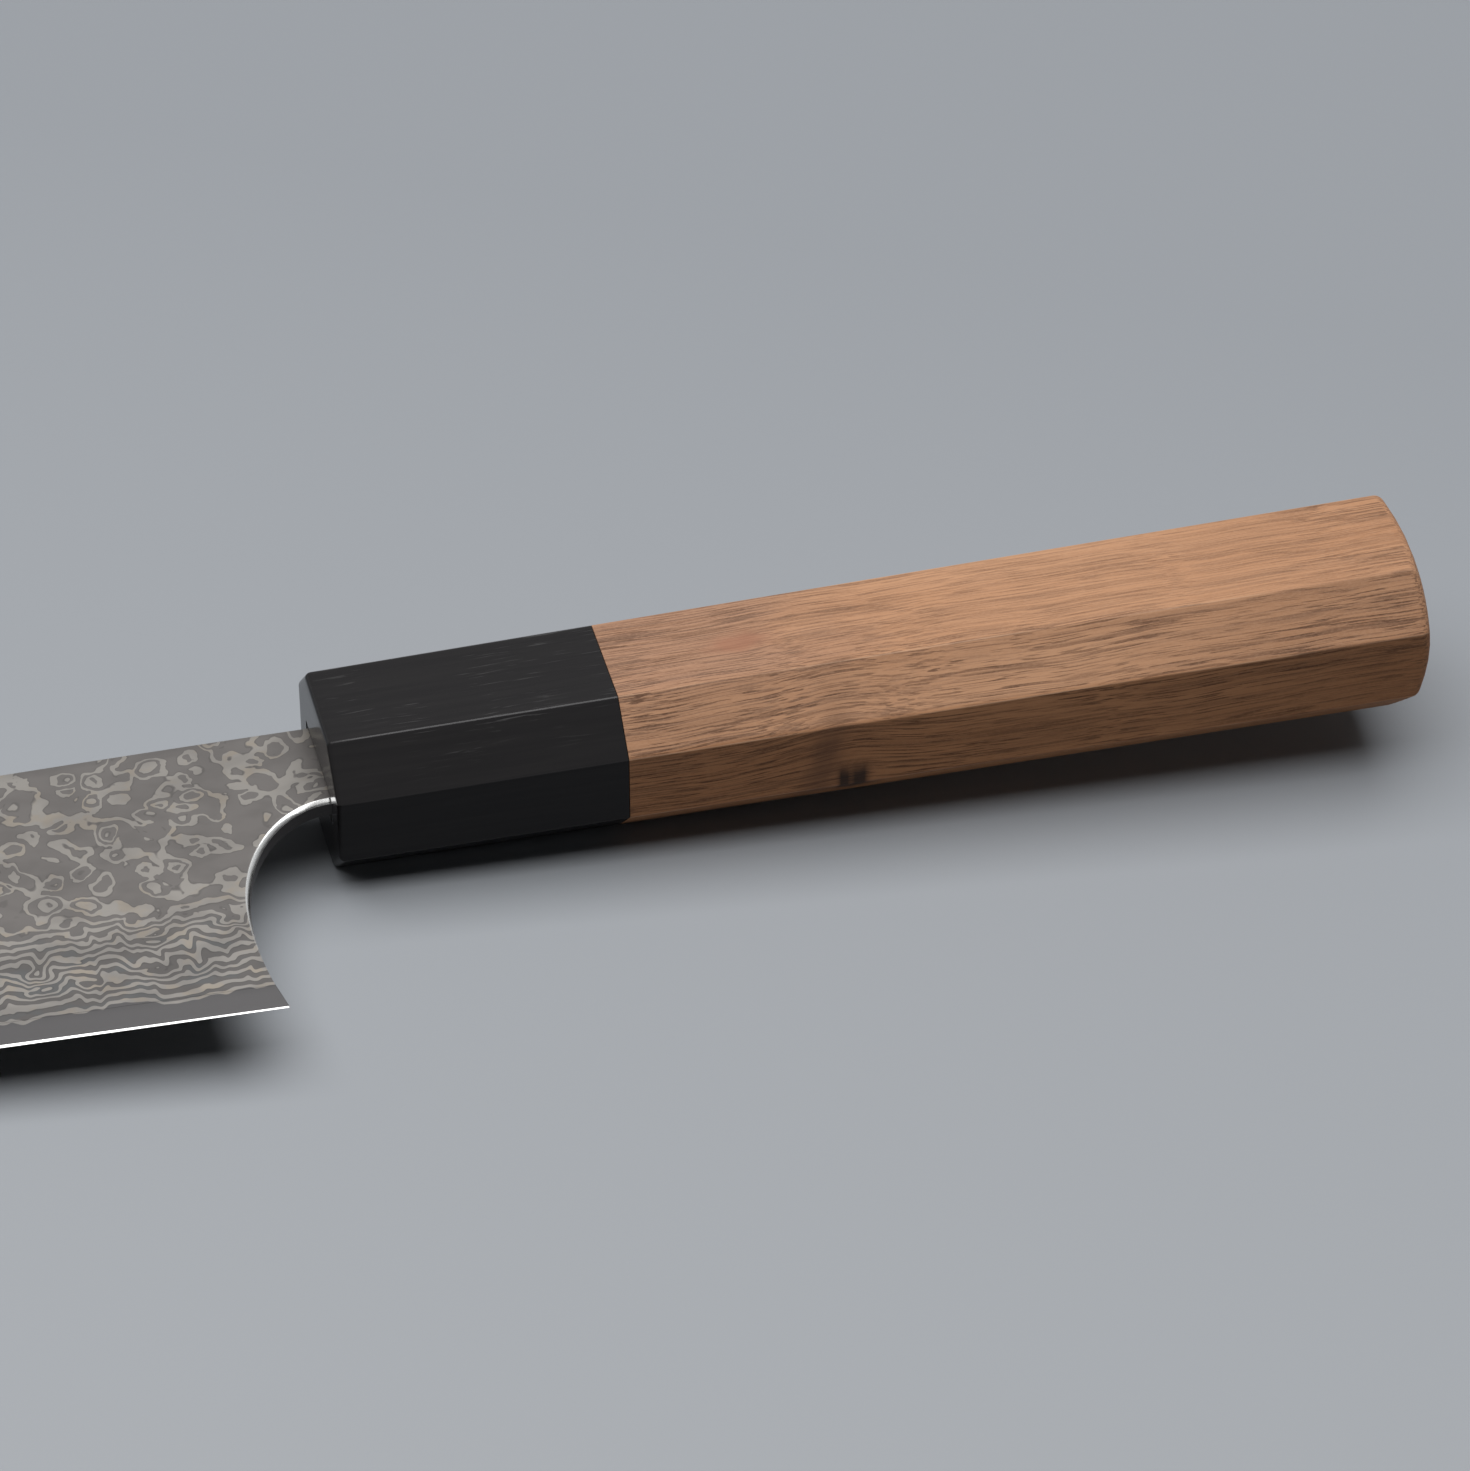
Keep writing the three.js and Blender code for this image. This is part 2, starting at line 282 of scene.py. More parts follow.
def layer_plan(front, back, front_steps, back_steps, middle):
    """Points of a layer seen square on, one column for each pair of border points.

    A column is the straight line from front to back. Its points stand off the front border by the front
    steps, share out the middle evenly and stand off the back border by the back steps.
    """
    way = back - front
    span = np.linalg.norm(way, axis=1)
    way = way / np.maximum(span, TINY)[:, None]

    def stand_off(border, steps):
        """Steps square to a border as lengths along the slanting columns, cut down on a short column."""
        tangent = np.gradient(border, axis=0)
        tangent /= np.linalg.norm(tangent, axis=1)[:, None]
        slant = np.abs(tangent[:, 0] * way[:, 1] - tangent[:, 1] * way[:, 0])
        reach = steps / np.clip(slant, LEAST_SLANT, 1)
        return reach * np.minimum(1, MOST_OF_COLUMN * span / np.maximum(reach.max(axis=0), TINY))

    near = stand_off(front, front_steps)
    far = span - stand_off(back, back_steps)[::-1]
    share = np.linspace(0, 1, middle + 2)[1:-1, None]
    along = np.concatenate([near, near[-1] + (far[0] - near[-1]) * share, far])
    return front + along[..., None] * way


def there_and_back(over, under):
    """Rings round a layer: each column runs along one face and back along the other."""
    return np.concatenate([over, under[::-1]]).swapaxes(0, 1)


def skin(name, rings, crease, marks, joined=False):
    """A closed skin over rings of points: quads from ring to ring, and one face over each end.

    Points that fall together are merged, so a ring drawn in to one point closes as a pole. Where the
    rings are joined, the last one leads back to the first and there are no ends. Edges that turn by more
    than the crease, in degrees, stay sharp.
    """
    index = np.arange(rings[..., 0].size).reshape(rings.shape[:2])
    ends = [] if joined else [index[0].tolist(), index[-1].tolist()]
    rows = np.concatenate([index, index[:1]]) if joined else index
    turned = np.roll(rows, -1, axis=1)
    quads = np.stack([rows[:-1], turned[:-1], turned[1:], rows[1:]], axis=-1).reshape(-1, 4)
    mesh = bpy.data.meshes.new(name)
    mesh.from_pydata(lay(rings.reshape(-1, 3)), [], [*quads.tolist(), *ends])
    for mark, values in marks.items():
        layer = mesh.attributes.new(mark, "FLOAT", "POINT")
        layer.data.foreach_set("value", values.astype(np.float32).ravel())
    shell = bmesh.new()
    shell.from_mesh(mesh)
    bmesh.ops.remove_doubles(shell, verts=shell.verts, dist=SAME_PLACE)
    bmesh.ops.recalc_face_normals(shell, faces=shell.faces)
    shell.to_mesh(mesh)
    shell.free()
    mesh.polygons.foreach_set("use_smooth", np.ones(len(mesh.polygons), bool))
    mesh.set_sharp_from_angle(angle=math.radians(crease))
    return mesh


def fit(name, mesh, finish, node):
    """Puts a finished piece on the knife in place of its solid."""
    piece = bpy.data.objects.new(name, mesh)
    bpy.context.scene.collection.objects.link(piece)
    mesh.materials.append(finish)
    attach(piece, "root")
    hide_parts(node)


class Wire:
    """A shader socket that can stand in a sum: each operator adds the Math node for it."""

    def __init__(self, socket):
        self.socket = socket
        self.tree = socket.id_data

    def node(self, kind, settings, inputs, output=0):
        """A node of that kind in the same tree: its settings first, then its sockets' values or wires."""
        made = self.tree.nodes.new(kind)
        for setting, value in settings.items():
            setattr(made, setting, value)
        for key, value in inputs.items():
            if isinstance(value, Wire):
                self.tree.links.new(value.socket, made.inputs[key])
            else:
                made.inputs[key].default_value = value
        return Wire(made.outputs[output])

    def math(self, operation, second=0.0, third=0.0):
        """This wire put through a Math node as its first value."""
        return self.node("ShaderNodeMath", {"operation": operation}, {0: self, 1: second, 2: third})

    def __add__(self, other):
        return self.math("ADD", other)

    def __sub__(self, other):
        return self.math("SUBTRACT", other)

    def __rsub__(self, other):
        return self.math("MULTIPLY_ADD", -1.0, other)

    def __mul__(self, other):
        return self.math("MULTIPLY", other)

    def __truediv__(self, other):
        return self.math("DIVIDE", other)

    __radd__ = __add__
    __rmul__ = __mul__

    def vector(self, operation, inputs):
        """A Vector Math node."""
        return self.node("ShaderNodeVectorMath", {"operation": operation}, inputs)

    def ease(self, low, high):
        """0 where this is at low, 1 where it is at high, and an even S between them."""
        return self.node(
            "ShaderNodeMapRange",
            {"interpolation_type": "SMOOTHSTEP"},
            {"Value": self, "From Min": low, "From Max": high},
        )

    def tint(self, low, high, blend="MIX"):
        """The colour low where this is 0, and high, blended with it as named, where it is 1."""
        settings = {"data_type": "RGBA", "blend_type": blend}
        return self.node("ShaderNodeMix", settings, {0: self, 6: low, 7: high}, 2)

    def axes(self):
        """The x, y and z wires of a vector."""
        return [self.node("ShaderNodeSeparateXYZ", {}, {0: self}, axis) for axis in range(3)]

    def scaled(self, factors):
        """A vector with each axis times its factor."""
        return self.vector("MULTIPLY", {0: self, 1: factors})

    def bell(self, middle, spread):
        """1 where this is at middle, falling away on both sides to about a third at `spread`."""
        off = (self - middle) / spread
        return (0.0 - off * off).math("EXPONENT")

    def cloud(self, scale=1.0, detail=1.0, roughness=0.5):
        """Soft noise round 0.5 at a place, with `scale` lumps to a millimetre."""
        sockets = {"Vector": self, "Scale": scale, "Detail": detail, "Roughness": roughness}
        return self.node("ShaderNodeTexNoise", {}, sockets)

    def swayed(self, scale, reach, detail=1.0):
        """A place pushed about by up to half of `reach` along each axis, by soft noise."""
        push = self.node("ShaderNodeTexNoise", {}, {"Vector": self, "Scale": scale, "Detail": detail}, 1)
        about = self.vector("SUBTRACT", {0: push, 1: (0.5, 0.5, 0.5)})
        return self.vector("MULTIPLY_ADD", {0: about, 1: (reach, reach, reach), 2: self})

    def mark(self, name):
        """A mesh's own attribute."""
        return self.node("ShaderNodeAttribute", {"attribute_name": name}, {}, 2)


def new_finish(name):
    """A material, its shader, and the place on the knife in millimetres as a wire."""
    finish = bpy.data.materials.new(name)
    finish.use_nodes = True
    shader = finish.node_tree.nodes["Principled BSDF"]
    coordinate = finish.node_tree.nodes.new("ShaderNodeTexCoord")
    table_place = Wire(coordinate.outputs["Object"])
    sockets = {
        "Vector": table_place,
        "Location": tuple(-(knife_axes @ knife_origin)),
        "Rotation": Matrix(knife_axes.tolist()).to_euler(),
        "Scale": (METRE, METRE, METRE),
    }
    place = table_place.node("ShaderNodeMapping", {"vector_type": "POINT"}, sockets)
    return finish, shader, place


def coat(shader, sockets):
    """Sets or wires the shader's sockets by name."""
    for name, value in sockets.items():
        if isinstance(value, Wire):
            value.tree.links.new(value.socket, shader.inputs[name])
        else:
            shader.inputs[name].default_value = value


def hammered(place, scale, least, most):
    """Round hills, one to a Voronoi cell: each falls to nothing at its cell's border.

    A hill's height is drawn evenly between least and most, and a cell that draws less than 0 stays flat.
    """
    seeds = {"Vector": place, "Scale": scale, "Randomness": HILL_JITTER}
    luck = place.node("ShaderNodeTexVoronoi", {"feature": "F1"}, seeds, "Color").axes()[0]
    away = place.node("ShaderNodeTexVoronoi", {"feature": "F1"}, seeds, "Distance")
    inside = place.node("ShaderNodeTexVoronoi", {"feature": "DISTANCE_TO_EDGE"}, seeds, "Distance")
    tall = (least + (most - least) * luck).math("MAXIMUM", 0.0)
    return inside.ease(0.0, HILL_RIM) * (1 - away.ease(HILL_TOP, HILL_FOOT)) * tall


def etched_layers(place, rise, drop):
    """Where the etch leaves a light layer, where a dark one's rim runs beside it, and where any layer is.

    The cladding's folded layers lie flat but for the hammer's hills. Above the grind's turn the face is
    cut along them, which opens hills as rings and islands. Below it the face cuts down through them by
    one layer every LAYER_SPACING, which draws wavy lines as far as the weld with the core. The rounded
    spine drops through a layer every LAYER_THICKNESS.
    """
    x, y, z = place.axes()
    sheet = place.node("ShaderNodeCombineXYZ", {}, {"X": x, "Y": y, "Z": z.math("SIGN") * FACES_APART})
    sag = (sheet.scaled((0.5, 0.5, 1.0)).cloud(0.30) - 0.5) * rise.ease(*SAG_SPAN)
    slope = (rise + SAG * sag).math("SMOOTH_MIN", GRIND_TURN, TURN_BLEND) / LAYER_SPACING
    flat = rise.ease(*FLAT_SPAN)
    dented = sheet.swayed(0.25, reach=2.2, detail=0.0).swayed(0.9, reach=0.8)
    hills = hammered(dented, HILLS_PER_MM, *HILL_HEIGHTS)
    mounds = sheet.swayed(0.30, reach=2.6, detail=2.0).cloud(0.21).ease(0.465, 0.65)
    upper = hills + MOUND_HEIGHT * mounds
    bent = sheet.scaled((0.6, 1.0, 1.0)).swayed(0.3, reach=1.6)
    lumps = hammered(bent, LUMPS_PER_MM, *LUMP_HEIGHTS) * rise.ease(*LUMP_SPAN)
    rolls = sheet.scaled((0.55, 0.22, 1.0)).swayed(0.4, reach=1.2).cloud(0.42) - 0.5
    waves = sheet.scaled((0.4, 0.8, 1.0)).swayed(0.4, reach=1.6).cloud(0.30) - 0.5
    kinks = sheet.scaled((0.55, 0.28, 1.0)).swayed(0.5, reach=3.4).cloud(0.48) - 0.5
    kinked = kinks * (KINK_HEIGHT + KINK_GROWTH * rise.ease(*KINK_SPAN))
    lower = rolls + WAVE_HEIGHT * waves + kinked + lumps
    depth = slope + LAYER_OFFSET + upper * flat + lower * (1 - flat) + drop / LAYER_THICKNESS
    layer = depth.math("FRACT")
    uneven = sheet.scaled((0.3, 1.0, 1.0)).cloud(0.25, detail=0.0) - 0.5
    border = layer - DARK_SHARE - DARKER_FLAT * flat - BORDER_SWAY * uneven
    clad = depth.ease(FIRST_LAYER, FIRST_LAYER + FIRST_BLEND)
    light = border.ease(0.0, BORDER_BLEND) * (1 - layer.ease(*LIGHT_END)) * clad
    rim = border.ease(*RIM_BAND) * (1 - light) * clad
    return light, rim, clad


def etched_steel(name):
    """The blade's finish: etched layers, tarnished and stained, with the honed parts left bright."""
    finish, shader, place = new_finish(name)
    honed = place.mark("honed")
    rise = place.mark("rise")
    light, rim, clad = etched_layers(place, rise, place.mark("drop"))
    flat = rise.ease(*TONE_SPAN)
    tarnish = place.scaled((1.0, 1.6, 1.0)).cloud(0.16, detail=2.0).ease(0.38, 0.62)
    light = light * (1 - TARNISH_ON_LIGHT * tarnish)
    shade = RIM_DARKENING * rim + TARNISH_ON_DARK * tarnish
    warm = place.swayed(0.5, reach=2.0).cloud(0.33, detail=2.0).ease(0.48, 0.68)
    cool = place.scaled((0.6, 1.0, 1.0)).cloud(0.45).ease(0.50, 0.66) * (1 - flat)
    bright = (WARMTH * warm).tint(flat.tint(GROUND_LIGHT, LIGHT_STEEL), WARM_STAIN)
    dark = (COOLNESS * cool).tint(flat.tint(GROUND_DARK, DARK_STEEL), COOL_STAIN)
    dark = shade.tint(dark, BLACK)
    etched = light.tint(clad.tint(BAND_STEEL, dark), bright)
    coat(shader, {
        "Base Color": honed.tint(etched, HONED_STEEL),
        "Metallic": ETCHED_METAL + (1 - ETCHED_METAL) * honed,
        "Roughness": STEEL_ROUGHNESS - LIGHT_SMOOTHING * light - HONED_SMOOTHING * honed,
        "Specular IOR Level": STEEL_SHINE,
    })
    return finish


def edge_band(rise):
    """Rows of points on the blade above its edge, each shared out from the clip to the choil.

    A row lies `rise` above the edge, which may change along it.
    """
    first = on_clip(rise[:, 0])
    last = np.interp(up_choil(rise[:, -1]), choil_run, choil_line[:, 0])
    x = first[:, None] + (last - first)[:, None] * edge_share
    return np.stack([x, edge_height(x) + rise], axis=-1)


core_front, core_back = layer_borders(BAND_TOP)[:2]
narrowing = smooth(BEVEL_NARROWS_FROM, 1.0, edge_share)
bevel = BEVEL_AT_POINT + (BEVEL_AT_HEEL - BEVEL_AT_POINT) * narrowing
bevel_rows = np.stack([0 * bevel, bevel / 2, bevel])
level_rows = np.array([*BAND_ROWS, CORE_BAND])[:, None] * np.ones(EDGE_COLUMNS)
band_rise = np.concatenate([bevel_rows, [bevel + BEVEL_FADE], level_rows])
behind = np.repeat(core_front[None, EDGE_COLUMNS:], len(band_rise), axis=0)
band = np.concatenate([edge_band(band_rise), behind], axis=1)
front_steps = np.zeros((1, len(core_front)))
back_steps = np.array([[0.0], [BACK_ROW]]) * np.ones(len(core_back))
above_band = layer_plan(core_front, core_back, front_steps, back_steps, CORE_ROWS)
core_plan = np.concatenate([band, above_band])
on_bevel = np.clip(band_rise / bevel, 0, 1)
above_bevel = np.clip((band_rise - bevel) / (CORE_BAND - bevel), 0, 1)
bevel_half = EDGE_HALF + BEVEL_SLOPE * bevel * on_bevel
core_half = np.full(core_plan.shape[:2], CORE_HALF)
core_half[:len(band), :EDGE_COLUMNS] = bevel_half + (CORE_HALF - bevel_half) * above_bevel
core_face = np.concatenate([core_plan, core_half[..., None]], axis=-1)
core_honed = np.zeros_like(core_half)
core_honed[:len(bevel_rows), :EDGE_COLUMNS - 1] = 1
core_rise = core_plan[..., 1] - edge_height(core_plan[..., 0])
core_rise[:, EDGE_COLUMNS:] = 0
core_rise[len(band) + 1:] = 0
core_rings = there_and_back(core_face, core_face * [1, 1, -1])
core_marks = {
    "honed": there_and_back(core_honed, core_honed),
    "rise": there_and_back(core_rise, core_rise),
}
core_mesh = skin("blade_core_steel", core_rings, CORE_CREASE, core_marks)
fit("blade_core_steel", core_mesh, etched_steel("core_steel"), "blade_core")

# Claddings
# Two soft steel skins of many folded layers, forge welded to the core's faces, then ground.
# Etching darkens one of their two steels. The choil's edges are eased and polished bright.
CLADDING_AT_MOUTH = 0.9
CLADDING_AT_TANG_END = 0.55
CLADDING_AT_CLIP = 0.5
CLADDING_AT_POINT = 0.3
GRIND_HEIGHT = 22.0
GRIND_BLEND = 0.08
WELD_GAP = 0.02
WELD_LIP = 0.012
CHOIL_EASE = 0.68
CHOIL_DEPTH = 0.42
CHOIL_DEPTH_SHARE = 0.5
CHOIL_CURVE = 1.6
CHOIL_EASE_LEAST = 0.15
EASE_STARTS = 3.0
EASE_FULL = 15.0
EASE_LIP = 0.03
EASE_ROWS = 7
SPINE_ROUND = 0.35
SPINE_ROWS = 8
SPINE_POLISH = 0.5
CLADDING_ROWS = 26
CLADDING_CREASE = 30


def cladding_thickness(x):
    """Thickness of a cladding above the grind, in straight runs from the point to the tang's end."""
    stations = [point[0], clip_start[0], 0, TANG_LENGTH]
    sizes = [CLADDING_AT_POINT, CLADDING_AT_CLIP, CLADDING_AT_MOUTH, CLADDING_AT_TANG_END]
    return np.interp(x, stations, sizes)


def ground_share(rise):
    """How much of a cladding the grind leaves: none at the core's band, all above the grind.

    The straight slope and the flat meet in a soft bend, 1 - b log(1 + exp((1 - u) / b)) for a share u.
    """
    share = (rise - CORE_BAND) / (GRIND_HEIGHT - CORE_BAND)
    bent = 1 - GRIND_BLEND * np.logaddexp(0, (1 - share) / GRIND_BLEND)
    return np.maximum(bent, 0)


front, back, climbed = layer_borders(CORE_BAND)
border_thickness = cladding_thickness(front[:, 0]) * ground_share(front[:, 1] - edge_height(front[:, 0]))
eased = smooth(EASE_STARTS, EASE_FULL, climbed)
choil_depth = np.minimum(CHOIL_DEPTH, CHOIL_DEPTH_SHARE * border_thickness) * eased
choil_width = CHOIL_EASE * (CHOIL_EASE_LEAST + (1 - CHOIL_EASE_LEAST) * choil_depth / CHOIL_DEPTH)
ease_share = np.array([0, EASE_LIP, *np.linspace(0, 1, EASE_ROWS + 1)[1:]])[:, None]
quarter = np.linspace(0, np.pi / 2, SPINE_ROWS)[:, None]
spine_steps = SPINE_ROUND * (1 - np.cos(quarter)) * np.ones(len(back))
plan = layer_plan(front, back, ease_share * choil_width, spine_steps, CLADDING_ROWS)
rise = plan[..., 1] - edge_height(plan[..., 0])
thickness = cladding_thickness(plan[..., 0]) * ground_share(rise)
thickness[:len(ease_share)] -= choil_depth * (1 - ease_share) ** CHOIL_CURVE
drop = np.zeros_like(thickness)
drop[-len(quarter):] = thickness[-len(quarter):] * (1 - np.sin(quarter)[::-1])
thickness -= drop
inner = CORE_HALF + WELD_GAP
over = np.concatenate([plan, inner + np.maximum(thickness, 0)[..., None]], axis=-1)
under = np.concatenate([plan, np.full_like(thickness, inner - WELD_LIP)[..., None]], axis=-1)
polished = np.zeros_like(thickness)
polished[1:len(ease_share) - 1] = eased
polished[-len(quarter) + 1:] = SPINE_POLISH
rise[0] = 0
cladding_rings = there_and_back(over, under)
cladding_marks = {
    "rise": there_and_back(rise, rise),
    "honed": there_and_back(polished, polished),
    "drop": there_and_back(drop, drop),
}
cladding_finish = etched_steel("etched_steel")
for face, way in [("upper", 1), ("lower", -1)]:
    name = f"cladding_{face}_skin"
    mesh = skin(name, cladding_rings * [1, 1, way], CLADDING_CREASE, cladding_marks)
    fit(name, mesh, cladding_finish, f"cladding_{face}")

# Handle body
# An octagonal walnut grip that swells towards the butt, planed, sanded and oiled.
# It is bored for the dowel, with a narrower pocket for the tang's end, and its butt is crowned.
FERRULE_LENGTH = 34.0
GLUE_LINE = 0.1
MOUTH_SIZE = (23.5, MOUTH_THICKNESS, 5.2)
BUTT_SIZE = (25.8, BUTT_THICKNESS, 5.5)
BORE_RADIUS = 6.6
BORE_END = 57.2
POCKET_RADIUS = 4.75
POCKET_END = 94.0
WOOD_ARRIS = 0.3
BUTT_EASE = 1.5
BUTT_EASE_TURN = math.radians(72)
BUTT_EASE_AHEAD = 3.0
BUTT_END = 132.75
BUTT_TILT = (0.031, 0.078)
BUTT_CURVE = (0.011, 0.026)
BUTT_RUN = 12.0
FACETS = 8
FACET_TURN = 2 * math.pi / FACETS
CORNER_POINTS = 6
FLAT_SHARES = (0.03, 0.25, 0.5, 0.75, 0.97)
GRIP_RINGS = 40
BUTT_EASE_RINGS = 8
DOME_RINGS = 12
GRIP_CREASE = 35

# The knot lies low on the side that faces the viewer. Two cracks run up from its heart, and a dark limb
# leans over it. The spot is a patch of reddish wood on top, and the wood is greyer towards the ferrule.
KNOT = (60.3, -12.4, -6.0)
KNOT_REACH = (7.7, 12.2, 12.2)
KNOT_PULL = 0.27
CRACKS = ((59.5, 0.6), (61.6, 0.9))
CRACKS_BETWEEN = (60.5, 1.4)
CRACK_FOOT = (-7.4, -5.4)
CRACK_TOP = (-3.3, -0.5)
HEART = (60.8, -5.9)
HEART_REACH = (2.4, 1.6)
HOLE_EDGE = (-9.0, -6.5)
LIMB_AT = 57.4
LIMB_WIDTH = 2.1
LIMB_LEAN = 0.22
LIMB_EDGE = (-11.0, -5.5)
LIMB_FADE = (0.0, 8.0)
SPOT = (49.8, -0.6, 9.6)
SPOT_REACH = (3.2, 1.4, 2.0)
GREY_END = (48.0, 70.0)
GREY_RAGGED = 40.0
CALM_AT = 92.0
CALM_REACH = 26.0
PALE_AT = 88.0
PALE_REACH = 30.0
DEEPER_BUTT = (95.0, 125.0)
SIDE_EDGE = (-9.0, -5.0)
# The upright near side and the lower chamfer below it take painted shade: their wood is darkened as they
# fall in the lamp's shade.
LOW_SIDE_EDGE = (-16.5, -15.6)
LOW_SIDE_TOP = (4.2, 5.0)
LOW_ARRIS = -4.4

# The wood's colours, in the order in which they are laid over one another, then its pores and its gloss.
WOOD_DEEP = (0.425, 0.218, 0.117, 1)
WOOD_PALE = (0.535, 0.294, 0.168, 1)
STREAK_BROWN = (0.275, 0.145, 0.083, 1)
GREY_BROWN = (0.300, 0.185, 0.140, 1)
LINE_BROWN = (0.200, 0.104, 0.061, 1)
HAIR_BROWN = (0.165, 0.094, 0.064, 1)
PORE_BROWN = (0.125, 0.063, 0.038, 1)
FIBRE_TAN = (0.62, 0.38, 0.24, 1)
# The next colour is painted shade, multiplied into the upright near side and the lower chamfer.
SIDE_PAINTED_SHADE = (0.70, 0.605, 0.495, 1)
SPOT_RED = (0.345, 0.162, 0.100, 1)
# The next colour lightens the arrises: partly worn by sanding, partly a painted highlight of the lamp along
# the edges.
WORN_AND_HIGHLIGHT_TAN = (0.640, 0.410, 0.270, 1)
LIMB_BROWN = (0.110, 0.054, 0.032, 1)
KNOT_BLACK = (0.020, 0.013, 0.011, 1)
PORE_DEPTH = 0.02
WOOD_ROUGHNESS = 0.60
LINE_ROUGHNESS = 0.12
WOOD_SHINE = 0.14


def stood(x, outline):
    """Rings from flat outlines, each set square to the handle at its x."""
    stations = np.broadcast_to(np.asarray(x, float)[:, None, None], (*outline.shape[:2], 1))
    return np.concatenate([stations, outline], axis=-1)


def octagons(x, size, arris, inset):
    """An octagon square to the handle at each x, with rounded corners.

    Its eight flats stand 45 degrees apart, each as far out as the height, thickness and chamfer put it,
    less the inset. A corner is an arc about the point that lies `arris` inside both of its flats.
    """
    half_height, half_thickness, chamfer = size[0] / 2, size[1] / 2, size[2]
    slant = (half_height + half_thickness - chamfer) / math.sqrt(2)
    reach = np.stack([half_height, slant, half_thickness, slant] * 2, axis=-1) - inset[:, None] - arris
    facing = np.arange(FACETS) * FACET_TURN
    beside = (np.roll(reach, -1, axis=1) - reach * math.cos(FACET_TURN)) / math.sin(FACET_TURN)
    outward = np.stack([np.cos(facing), np.sin(facing)], axis=-1)
    sideways = np.stack([-np.sin(facing), np.cos(facing)], axis=-1)
    centre = reach[..., None] * outward + beside[..., None] * sideways
    turn = facing[:, None] + np.linspace(0, FACET_TURN, CORNER_POINTS)
    arc = centre[:, :, None] + arris * np.stack([np.cos(turn), np.sin(turn)], axis=-1)
    flat_share = np.array(FLAT_SHARES)[:, None]
    flat_end = np.roll(arc[:, :, 0], -1, axis=1)
    flat = arc[:, :, -1:] + (flat_end - arc[:, :, -1])[:, :, None] * flat_share
    return stood(x, np.concatenate([arc, flat], axis=2).reshape(len(x), -1, 2))


def circles(x, radius, ring):
    """A circle at each x, with its points at the same angles as those of a ring."""
    ray = ring[:, 1:] / np.linalg.norm(ring[:, 1:], axis=1)[:, None]
    return stood(x, np.asarray(radius, float)[:, None, None] * ray)


def grip_size(x):
    """Height, thickness and chamfer of the handle at x, in straight runs from mouth to butt."""
    return [low + (high - low) * x / HANDLE_LENGTH for low, high in zip(MOUTH_SIZE, BUTT_SIZE)]


def butt_reach(y, z):
    """How far back the butt's dome reaches: a parabola each way, both a little out of square."""
    over_height = BUTT_TILT[0] * y - BUTT_CURVE[0] * y * y
    return BUTT_END + over_height + BUTT_TILT[1] * z - BUTT_CURVE[1] * z * z


def around(axes, middle, reach):
    """1 at a middle, falling away along each axis by its own reach."""
    x, y, z = [axis.bell(at, spread) for axis, at, spread in zip(axes, middle, reach)]
    return x * y * z


butt_turn = np.linspace(0, BUTT_EASE_TURN, BUTT_EASE_RINGS + 1)[1:]
grip_front = FERRULE_LENGTH + GLUE_LINE
ease_from = BUTT_END - BUTT_EASE_AHEAD
ahead_of_ease = np.linspace(grip_front, ease_from, GRIP_RINGS)
grip_x = np.concatenate([ahead_of_ease, ease_from + BUTT_EASE * np.sin(butt_turn)])
grip_inset = np.concatenate([np.zeros(GRIP_RINGS), BUTT_EASE * (1 - np.cos(butt_turn))])
grip_sides = octagons(grip_x, grip_size(grip_x), WOOD_ARRIS, grip_inset)
rim_shift = butt_reach(grip_sides[-1, :, 1], grip_sides[-1, :, 2]) - grip_sides[-1, :, 0]
shift_share = np.clip((grip_x - ease_from) / BUTT_RUN + 1, 0, 1)
grip_sides[..., 0] += shift_share[:, None] * rim_shift
bore_x = [POCKET_END, POCKET_END, BORE_END, BORE_END, grip_front]
bore_radius = [0, POCKET_RADIUS, POCKET_RADIUS, BORE_RADIUS, BORE_RADIUS]
grip_bore = circles(bore_x, bore_radius, grip_sides[0])
shrink = np.linspace(1, 0, DOME_RINGS + 1)[1:, None, None]
dome = grip_sides[-1] * shrink
dome[..., 0] = butt_reach(dome[..., 1], dome[..., 2])
grip_rings = np.concatenate([grip_bore, grip_sides, dome])
corner_mark = np.pad(np.sin(np.linspace(0, np.pi, CORNER_POINTS)), (0, len(FLAT_SHARES)))
grip_arris = np.zeros(grip_rings.shape[:2])
grip_arris[len(grip_bore):-len(dome)] = np.tile(corner_mark, FACETS)
grip_mesh = skin("walnut_grip", grip_rings, GRIP_CREASE, {"arris": grip_arris})

walnut_finish, shader, place = new_finish("walnut")
x, y, z = place.axes()
near_knot = around([x, y, z], KNOT, KNOT_REACH)
from_knot = place.vector("SUBTRACT", {0: place, 1: KNOT}).scaled((0.0, 1.0, 1.0))
pull = from_knot.vector("SCALE", {0: from_knot, "Scale": KNOT_PULL * near_knot})
grain = place.vector("SUBTRACT", {0: place, 1: pull}).swayed(0.05, reach=1.6)
broad = grain.scaled((0.012, 0.16, 0.16)).cloud(detail=2.0)
streaks = grain.scaled((0.018, 0.95, 0.95)).cloud(detail=3.0, roughness=0.65)
lines = grain.scaled((0.030, 2.7, 2.7)).cloud(detail=2.0, roughness=0.6)
hairs = grain.scaled((0.022, 4.2, 4.2)).cloud()
ticks = grain.scaled((0.17, 4.4, 4.4)).cloud()
fuzz = place.scaled((2.0, 6.0, 6.0)).cloud(detail=2.0, roughness=0.7)
smoke = place.scaled((0.06, 0.16, 0.16)).cloud(detail=2.0)
patches = place.scaled((0.05, 0.22, 0.22)).cloud(detail=2.0).ease(0.38, 0.62)
side = 1 - y.ease(*SIDE_EDGE)
